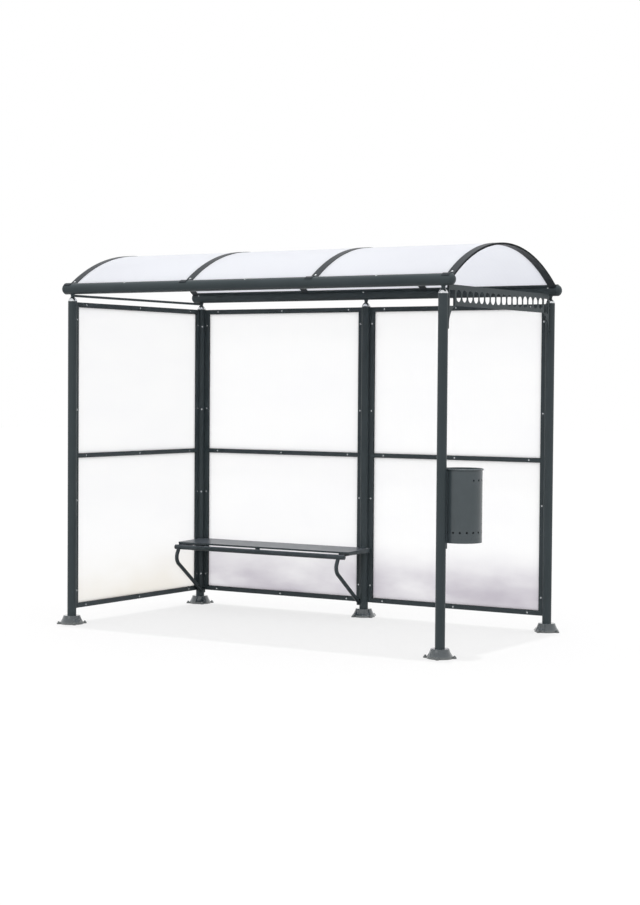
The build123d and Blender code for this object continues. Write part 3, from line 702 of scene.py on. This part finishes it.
@dataclass
class Screws:
    """Button screws gathered for one sub-assembly, made as one mesh."""

    name: str
    kind: ButtonScrew = ButtonScrew()
    places: list[Matrix] = field(default_factory=list)
    turn: float = 37.0   # degrees from one screw's head to the next

    def add(self, point: Vector, outwards: Vector) -> None:
        """Set one screw on a surface.

        Args:
            point: Where the washer meets the surface.
            outwards: Way out of the surface.
        """
        self.places.append(facing(point, outwards.normalized(), self.turn * len(self.places)))

    def build(self, material: bpy.types.Material) -> bpy.types.Object:
        """Make the piece.

        Args:
            material: Finish of the screws.

        Returns:
            The piece.
        """
        bm = bmesh.new()
        stamp(bm, self.kind.shape(), self.places)
        return finish_piece(bm, self.name, material)


ROOF_SCREW = ButtonScrew(
    head_r=6.4 * MM, head_height=3.6 * MM, socket_r=2.6 * MM, socket_depth=1.8 * MM, washer_r=8.8 * MM,
)


# ------------------------------------------------------------------ sub-assemblies
ROOF_SHEETS = ("roof_sheet_1", "roof_sheet_2", "roof_sheet_3")
# Posts by place, each with the turn of its foot in degrees.
FOOT_TURNS = {"front_left": 50.0, "front_right": 18.0, "back_left": 45.0, "back_middle": 65.0, "back_right": 78.0}


@dataclass
class Posts:
    """The five posts, their cast feet with ground anchors, and their polished caps."""

    ears: int = 4
    ear_thick: float = 10 * MM
    ear_circle: float = 195 * MM
    nut_turn: float = 25.0       # degrees from one ear's nut to the next
    screw_rows: tuple[float, ...] = (2.240, 1.574, 0.909, 0.243)   # heights of the corner post's screws

    def axis_of(self, place: str) -> Vector:
        """Give the axis of a post, on the ground."""
        centre = middle(f"{place}_post")
        return Vector((centre.x, centre.y, 0.0))

    def build(self) -> None:
        """Dress the posts and make the anchors and the corner post's screws."""
        dress([f"{place}_post" for place in FOOT_TURNS], FRAME_COAT_MATERIAL)
        dress([f"{place}_foot" for place in FOOT_TURNS], CAST_FOOT.material())
        dress(["post_caps"], POLISHED.material())
        zinc = ZINC.material()
        anchor = AnchorNut().shape()
        for place, turn in FOOT_TURNS.items():
            bm = bmesh.new()
            places = []
            for ear in range(self.ears):
                angle = math.radians(turn + 360 / self.ears * ear)
                reach = Vector((math.cos(angle), math.sin(angle), 0)) * self.ear_circle / 2
                point = self.axis_of(place) + reach + Vector((0, 0, self.ear_thick))
                places.append(facing(point, Vector((0, 0, 1)), turn * 3 + self.nut_turn * ear))
            stamp(bm, anchor, places)
            finish_piece(bm, f"{place}_anchors", zinc)
        screws = Screws("corner_post_screws")
        inwards = Vector((1, -1, 0)).normalized()
        radius = (span("back_left_post", 0)[1] - span("back_left_post", 0)[0]) / 2
        for row in self.screw_rows:
            screws.add(self.axis_of("back_left") + inwards * radius + Vector((0, 0, row)), inwards)
        screws.build(SCREW_MATERIAL)


@dataclass
class Eaves:
    """The two eave tubes on their stems, with domed end caps and the side tie."""

    lip_angle: float = 65.0      # of the sheet screws, up from the level, on the outer side
    stem_angle: float = 28.0     # of the stem screws, up from the level, on the inner side
    stem_aside: float = 4 * MM   # of a stem screw, from its post's axis
    sunk: float = 0.5 * MM       # of a washer's foot in the round of the tube
    tubes: tuple[str, ...] = ("front_eave_tube", "back_eave_tube")
    fittings: tuple[str, ...] = ("eave_tube_caps", "beam_saddles", "side_tie_bar")

    def build(self) -> None:
        """Dress the tubes and make their screws."""
        dress([*self.tubes, *self.fittings], FRAME_COAT_MATERIAL)
        screws = Screws("eave_screws", ROOF_SCREW)
        for tube, out in zip(self.tubes, (-1, 1)):
            centre, radius = middle(tube), (span(tube, 2)[1] - span(tube, 2)[0]) / 2 - self.sunk
            for sheet in ROOF_SHEETS:
                self.add(screws, centre, radius, middle(sheet).x, out, self.lip_angle)
            for place in FOOT_TURNS:
                if place.split("_")[0] == tube.split("_")[0]:
                    x = middle(f"{place}_post").x - self.stem_aside
                    self.add(screws, centre, radius, x, -out, self.stem_angle)
        screws.build(ROOF_SCREW_MATERIAL)

    @staticmethod
    def add(screws: Screws, centre: Vector, radius: float, x: float, way: int, angle: float) -> None:
        """Set a screw on an eave tube.

        Args:
            screws: Screws that it joins.
            centre: Middle of the tube.
            radius: Distance of the washer's foot from the tube's axis.
            x: Place along the tube.
            way: 1 for the side towards +Y, -1 for the other.
            angle: Degrees up from the level.
        """
        out = Vector((0, way * math.cos(math.radians(angle)), math.sin(math.radians(angle))))
        screws.add(Vector((x, centre.y, centre.z)) + out * radius, out)


@dataclass
class Roof:
    """Four arched glazing bars with three curved sheets, their seals, end profiles and screws."""

    rise: float = 281 * MM       # crown of the bars' middle line over the eave axes
    flange: float = 2.8 * MM
    gap: float = 8.4 * MM        # between a bar's flanges
    sheet_thick: float = 8 * MM
    seal_section: tuple[tuple[float, float], ...] = (
        (0.0, 0.0), (2.4 * MM, 0.0), (0.96 * MM, 1.4 * MM), (0.0, 1.4 * MM),
    )
    seal_short: float = math.radians(0.4)   # of the seal's ends, before the sheet's
    screw_steps: tuple[float, ...] = (39 * MM, 62 * MM)   # in from the eave axes, level
    # U-profile on each end of a sheet: distance along the roof's curve from the eave
    # axis, and distance out of the middle of the sheet.
    end_profile: tuple[tuple[float, float], ...] = (
        (41 * MM, -6.7 * MM), (70 * MM, -6.7 * MM), (70 * MM, -4.5 * MM), (45 * MM, -4.5 * MM),
        (45 * MM, 4.5 * MM), (56 * MM, 4.5 * MM), (56 * MM, 6.7 * MM), (41 * MM, 6.7 * MM),
    )
    end_play: float = 0.3 * MM   # between an end profile and the bars beside it
    steps: int = 64

    def build(self) -> None:
        """Dress the bars and sheets and make the seals, end profiles and screws."""
        bars = [f"roof_arch_{n}" for n in range(1, 5)]
        dress(bars, ROOF_BAR_COAT.material())
        dress(ROOF_SHEETS, ROOF_SHEET.material())
        front, back = middle("front_eave_tube"), middle("back_eave_tube")
        half = (back.y - front.y) / 2
        radius = (half**2 + self.rise**2) / (2 * self.rise)
        centre = Vector((0, (front.y + back.y) / 2, front.z + self.rise - radius))
        self.seals(bars, centre, radius)
        self.end_profiles(bars, centre, radius, half)
        self.screws(bars, centre, radius)

    def seals(self, bars: list[str], centre: Vector, radius: float) -> None:
        """Make the rubber beads between the bars' flanges and the sheets.

        Args:
            bars: The glazing bars.
            centre: A point on the roof's axis.
            radius: Radius of the sheets' middle.
        """
        _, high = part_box("roof_sheet_1")
        reach = math.asin((high.y - centre.y) / (radius + self.sheet_thick / 2)) - self.seal_short
        bm = bmesh.new()
        for number, bar in enumerate(bars):
            left, right = span(bar, 0)
            sides = ([(left, -1)] if number else []) + ([(right, 1)] if number < len(bars) - 1 else [])
            for edge, way in sides:
                for face in (-1, 1):
                    foot = centre.z + radius + face * self.sheet_thick / 2
                    ring = [
                        bm.verts.new((edge + way * along, centre.y, foot + face * up))
                        for along, up in self.seal_section
                    ]
                    bead = bm.faces.new(ring)
                    bmesh.ops.rotate(bm, verts=ring, cent=centre, matrix=Matrix.Rotation(reach, 3, "X"))
                    bmesh.ops.spin(
                        bm, geom=[bead], cent=centre, axis=(1, 0, 0), dvec=(0, 0, 0), angle=-2 * reach,
                        steps=self.steps, use_merge=False, use_duplicate=False,
                    )
        bmesh.ops.remove_doubles(bm, verts=bm.verts[:], dist=1e-5)
        bmesh.ops.holes_fill(bm, edges=[e for e in bm.edges if e.is_boundary], sides=0)
        bmesh.ops.recalc_face_normals(bm, faces=bm.faces[:])
        finish_piece(bm, "roof_seals", SEAL_MATERIAL)

    def end_profiles(self, bars: list[str], centre: Vector, radius: float, half: float) -> None:
        """Make the U-profiles that close the sheets' ends along the eave tubes.

        Args:
            bars: The glazing bars.
            centre: A point on the roof's axis.
            radius: Radius of the sheets' middle.
            half: Level distance from the roof's axis to an eave axis.
        """
        bm = bmesh.new()
        for left, right in zip(bars, bars[1:]):
            start, end = span(left, 0)[1] + self.end_play, span(right, 0)[0] - self.end_play
            for way in (-1, 1):
                ring = []
                for along, out in self.end_profile:
                    angle = math.asin(half / radius) - along / radius
                    offset = Vector((0, way * math.sin(angle), math.cos(angle))) * (radius + out)
                    ring.append(bm.verts.new(Vector((start, centre.y, centre.z)) + offset))
                grown = bmesh.ops.extrude_face_region(bm, geom=[bm.faces.new(ring)])
                far = [v for v in grown["geom"] if isinstance(v, bmesh.types.BMVert)]
                bmesh.ops.translate(bm, verts=far, vec=(end - start, 0, 0))
        bmesh.ops.recalc_face_normals(bm, faces=bm.faces[:])
        finish_piece(bm, "roof_sheet_end_profiles", FRAME_COAT_MATERIAL)

    def screws(self, bars: list[str], centre: Vector, radius: float) -> None:
        """Make the two screws in each end of each bar, on its outer face.

        Args:
            bars: The glazing bars.
            centre: A point on the roof's axis.
            radius: Radius of the sheets' middle.
        """
        screws = Screws("roof_screws", ROOF_SCREW)
        outer = radius + self.gap / 2 + self.flange
        front, back = middle("front_eave_tube").y, middle("back_eave_tube").y
        for bar in bars:
            x = middle(bar).x
            for y in [*(front + step for step in self.screw_steps), *(back - step for step in self.screw_steps)]:
                out = Vector((0, y - centre.y, math.sqrt(outer**2 - (y - centre.y) ** 2)))
                screws.add(Vector((x, centre.y, centre.z)) + out, out)
        screws.build(ROOF_SCREW_MATERIAL)


@dataclass
class WallBay:
    """One framed wall bay: stiles, rails, two panels, their seals and screws."""

    name: str
    run: int                      # axis along the wall
    outward: Vector
    sheet: TwinWallSheet
    stile_screws: tuple[float, ...] = (2.248, 1.582, 0.911, 0.243)   # their heights
    rail_screw_from_post: float = 160 * MM
    stile_edge: float = 70 * MM   # panel side of a stile, from its post's axis
    rail_height: float = 33 * MM
    seal_width: float = 3.0 * MM
    seal_height: float = 2.0 * MM
    seal_edge: float = 0.8 * MM
    panel_thick: float = 6 * MM
    panel_grip: float = 7 * MM    # of a panel's edge, in the groove of its frame

    def build(self, sheets: dict[str, bpy.types.Material]) -> None:
        """Dress the bay's parts and make its seals and screws.

        Args:
            sheets: Materials made so far, by name, so that bays share them.
        """
        if self.sheet.name not in sheets:
            sheets[self.sheet.name] = self.sheet.material()
        dress([f"{self.name}_stiles", f"{self.name}_rails"], FRAME_COAT_MATERIAL)
        dress([f"{self.name}_{level}_panel" for level in ("lower", "upper")], sheets[self.sheet.name])
        self.seals()
        self.screws()

    def face(self, side: Side) -> float:
        """Give the place of one face of the frame, across the wall."""
        low, high = span(f"{self.name}_stiles", 1 - self.run)
        return high if side.value * self.outward[1 - self.run] > 0 else low

    def point(self, along: float, across: float, height: float) -> Vector:
        """Turn a place along and across the wall into a point."""
        return Vector((along, across, height) if self.run == 0 else (across, along, height))

    def screws(self) -> None:
        """Make the screws on both faces of the stiles and rails."""
        screws = Screws(f"{self.name}_frame_screws")
        start, end = span(f"{self.name}_stiles", self.run)
        rail_start, rail_end = span(f"{self.name}_rails", self.run)
        post_gap = self.stile_edge - (rail_start - start)
        first = start - post_gap
        last = end + post_gap
        bottom, top = span(f"{self.name}_rails", 2)
        lower, upper = span(f"{self.name}_lower_panel", 2), span(f"{self.name}_upper_panel", 2)
        levels = (bottom + self.rail_height / 2, (lower[1] + upper[0]) / 2, top - self.rail_height / 2)
        for side in Side:
            across = self.face(side)
            outwards = self.outward * side.value
            for along in ((start + rail_start) / 2, (end + rail_end) / 2):
                for height in self.stile_screws:
                    screws.add(self.point(along, across, height), outwards)
            for height in levels:
                for along in (first + self.rail_screw_from_post, (first + last) / 2, last - self.rail_screw_from_post):
                    screws.add(self.point(along, across, height), outwards)
        screws.build(SCREW_MATERIAL)

    def seals(self) -> None:
        """Make the rubber bead round both faces of both panels."""
        bm = bmesh.new()
        start, end = span(f"{self.name}_rails", self.run)
        for level in ("lower", "upper"):
            low, high = span(f"{self.name}_{level}_panel", 2)
            low, high = low + self.panel_grip, high - self.panel_grip
            centre = middle(f"{self.name}_{level}_panel")
            for side in Side:
                ring = bmesh.new()
                bmesh.ops.create_grid(ring, x_segments=1, y_segments=1, size=0.5)
                bmesh.ops.scale(ring, vec=(end - start, high - low, 1), verts=ring.verts[:])
                inner = bmesh.ops.inset_region(
                    ring, faces=ring.faces[:], thickness=self.seal_width, use_boundary=True, use_even_offset=True,
                )
                rim = set(inner["faces"])
                bmesh.ops.delete(ring, geom=[f for f in ring.faces if f not in rim], context="FACES")
                grown = bmesh.ops.extrude_face_region(ring, geom=ring.faces[:])
                raised = [v for v in grown["geom"] if isinstance(v, bmesh.types.BMVert)]
                bmesh.ops.translate(ring, verts=raised, vec=(0, 0, self.seal_height))
                bmesh.ops.recalc_face_normals(ring, faces=ring.faces[:])
                bmesh.ops.bevel(
                    ring, geom=[e for e in ring.edges if all(v in raised for v in e.verts)], offset=self.seal_edge,
                    affect="EDGES", segments=2, profile=0.5, material=-1, offset_type="OFFSET",
                )
                outwards = self.outward * side.value
                along = Vector((1, 0, 0)) if self.run == 0 else Vector((0, 1, 0))
                up = Vector((0, 0, 1))
                if along.cross(up).dot(outwards) < 0:
                    along = -along
                middle_at = self.point((start + end) / 2, centre[1 - self.run], (low + high) / 2)
                middle_at += outwards * self.panel_thick / 2
                turn = Matrix((along, up, outwards)).transposed().to_4x4()
                stamp(bm, kept_shape(ring, "seal_ring"), [Matrix.Translation(middle_at) @ turn])
        finish_piece(bm, f"{self.name}_seals", SEAL_MATERIAL)


@dataclass
class Bench:
    """Folded seat on two arms, with a round front tube and two bent legs."""

    slope: float = math.radians(1.6)   # of the seat, down towards its front
    screw_in: float = 42 * MM          # of the seat's screw, from the middle post's axis
    screw_front: float = 25 * MM       # and in front of that axis
    parts: tuple[str, ...] = ("bench_seat", "bench_front_tube", "bench_arms", "bench_legs")

    def build(self) -> None:
        """Dress the bench and make the screw that holds it beside the middle post."""
        dress(self.parts, BENCH_COAT.material())
        screws = Screws("bench_screws")
        post = middle("back_middle_post")
        back, top = span("bench_seat", 1)[1], span("bench_seat", 2)[1]
        up = Vector((0, -math.sin(self.slope), math.cos(self.slope)))
        y = post.y - self.screw_front
        screws.add(Vector((post.x + self.screw_in, y, top - (back - y) * math.tan(self.slope))), up)
        screws.build(SCREW_MATERIAL)


@dataclass
class LitterBin:
    """Round perforated litter bin on a bracket from the front right post."""

    parts: tuple[str, ...] = ("litter_bin", "bin_bracket")

    def build(self) -> None:
        """Dress the bin and its bracket."""
        dress(self.parts, BIN_COAT.material())


@dataclass
class Frieze:
    """Slotted plate and two corner pieces that hang between the right posts."""

    parts: tuple[str, ...] = ("frieze_plate", "frieze_corner_pieces", "frieze_spacers")

    def build(self) -> None:
        """Dress the frieze."""
        dress(self.parts, FRAME_COAT_MATERIAL)


# ----------------------------------------------------------------- floor and light
@dataclass
class Studio:
    """Plain pale floor, white surroundings, soft lamps and the camera."""

    zenith: float = 1.05          # light from straight above
    horizon: float = 2.05         # and from the sides
    sun: float = 1.3              # watts on a square metre
    sun_angle: float = 1.0        # degrees across, which keeps the shadow's edge crisp
    key: float = 50.0             # watts
    ground: str = "#cacaca"       # floor's colour, which shows just white where the light falls whole
    grit: str = "#cdcccc"
    grit_size: float = 1 / 30
    floor_r: float = 60.0
    floor_at: tuple[float, float, float] = (1.5, 0.8, -0.4 * MM)
    sun_way: tuple[float, float, float] = (0.03, -0.055, -1.0)
    key_at: tuple[float, float, float] = (0.5, -9.0, 4.0)
    key_aim: tuple[float, float, float] = (1.5, 0.8, 1.2)
    key_size: tuple[float, float] = (5.0, 4.0)
    bounce: str = "#747474"       # floor's colour for the light that it throws back
    glow: float = 0.7             # share of plain white in the floor as it is seen
    camera_at: tuple[float, float, float] = (8.9581, -10.8778, 1.7869)
    yaw: float = 0.558898         # left from +Y, in radians
    pitch: float = -0.0362565
    roll: float = 0.00736148
    focal: float = 2.0950497      # focal length, as a share of the picture's height

    def build(self) -> None:
        """Set up the floor, the lamps, the world and the camera."""
        self.floor()
        self.lamps()
        self.world()
        self.camera()
        view = bpy.context.scene.view_settings
        view.view_transform = "Standard"

    def floor(self) -> None:
        """Make the floor, which shows white but keeps the shelter's shadow."""
        bm = bmesh.new()
        bmesh.ops.create_circle(bm, cap_ends=True, segments=96, radius=self.floor_r)
        bmesh.ops.translate(bm, verts=bm.verts[:], vec=self.floor_at)
        mesh = kept_shape(bm, "studio_floor")
        material, tree = blank_material("pale_studio_floor")
        place = add_node(tree, "ShaderNodeTexCoord").outputs["Object"]
        tone = blend(tree, noise(tree, place, self.grit_size, 3.0), self.ground, self.grit)
        thrown = add_node(tree, "ShaderNodeLightPath").outputs["Is Diffuse Ray"]
        matt = add_node(tree, "ShaderNodeBsdfDiffuse", {"Color": blend(tree, thrown, tone, self.bounce)})
        white = add_node(tree, "ShaderNodeEmission", {"Color": (1.0, 1.0, 1.0, 1.0), "Strength": 1.0})
        share = plain_share(tree, self.glow)
        mixed = add_node(tree, "ShaderNodeMixShader", {0: share, 1: matt.outputs[0], 2: white.outputs[0]})
        add_node(tree, "ShaderNodeOutputMaterial", {"Surface": mixed.outputs[0]})
        mesh.materials.append(material)
        floor = bpy.data.objects.new("studio_floor", mesh)
        bpy.context.scene.collection.objects.link(floor)

    def lamps(self) -> None:
        """Make the overhead sun and the soft key lamp."""
        sun = bpy.data.lights.new("overhead_sun", "SUN")
        sun.energy = self.sun
        sun.angle = math.radians(self.sun_angle)
        lamp = bpy.data.objects.new("overhead_sun", sun)
        lamp.rotation_mode = "QUATERNION"
        lamp.rotation_quaternion = Vector(self.sun_way).to_track_quat("-Z", "Y")
        bpy.context.scene.collection.objects.link(lamp)
        key = bpy.data.lights.new("soft_key", "AREA")
        key.energy = self.key
        key.shape = "RECTANGLE"
        key.size, key.size_y = self.key_size
        lamp = bpy.data.objects.new("soft_key", key)
        lamp.location = self.key_at
        lamp.rotation_mode = "QUATERNION"
        lamp.rotation_quaternion = (Vector(self.key_aim) - lamp.location).to_track_quat("-Z", "Y")
        bpy.context.scene.collection.objects.link(lamp)

    def world(self) -> None:
        """Surround the shelter with white, plain for the eye and softer as light."""
        world = bpy.data.worlds.new("white_surround")
        world.use_nodes = True
        tree = world.node_tree
        tree.nodes.clear()
        way = add_node(tree, "ShaderNodeSeparateXYZ", {0: add_node(tree, "ShaderNodeTexCoord").outputs["Generated"]})
        sky = ramp(tree, way.outputs["Z"], (0.0, 1.0), (self.horizon, self.zenith))
        strength = add_node(tree, "ShaderNodeMix", {0: plain_share(tree, 1.0), 2: sky, 3: 1.0})
        shine = add_node(tree, "ShaderNodeBackground", {"Color": (1.0, 1.0, 1.0, 1.0), "Strength": strength.outputs[0]})
        add_node(tree, "ShaderNodeOutputWorld", {"Surface": shine.outputs[0]})
        bpy.context.scene.world = world

    def camera(self) -> None:
        """Make the camera at its viewing angle, with depth of field off."""
        data = bpy.data.cameras.new("camera")
        data.sensor_width = 36.0
        data.lens = self.focal * data.sensor_width
        data.clip_end = 200.0
        level = math.cos(self.pitch)
        ahead = Vector((-math.sin(self.yaw) * level, math.cos(self.yaw) * level, math.sin(self.pitch)))
        right = Vector((math.cos(self.yaw), math.sin(self.yaw), 0.0))
        up = right.cross(ahead)
        side = right * math.cos(self.roll) + up * math.sin(self.roll)
        top = up * math.cos(self.roll) - right * math.sin(self.roll)
        camera = bpy.data.objects.new("camera", data)
        camera.matrix_world = Matrix.Translation(self.camera_at) @ Matrix((side, top, -ahead)).transposed().to_4x4()
        bpy.context.scene.collection.objects.link(camera)
        bpy.context.scene.camera = camera


FRAME_COAT_MATERIAL = FRAME_COAT.material()
SCREW_MATERIAL = SCREW_STEEL.material()
ROOF_SCREW_MATERIAL = ROOF_SCREW_STEEL.material()
SEAL_MATERIAL = SEAL.material()


def main() -> None:
    """Build the shelter's looks, one sub-assembly after another."""
    logging.basicConfig(level=logging.INFO, format="%(name)s: %(message)s")
    Posts().build()
    Eaves().build()
    Roof().build()
    sheets: dict[str, bpy.types.Material] = {}
    for bay in (
        WallBay("side", 1, Vector((-1, 0, 0)), WALL_SHEET_Y),
        WallBay("back_left", 0, Vector((0, 1, 0)), WALL_SHEET_X),
        WallBay("back_right", 0, Vector((0, 1, 0)), WALL_SHEET_X),
    ):
        bay.build(sheets)
    Bench().build()
    LitterBin().build()
    Frieze().build()
    Studio().build()


if __name__ == "__main__":
    main()
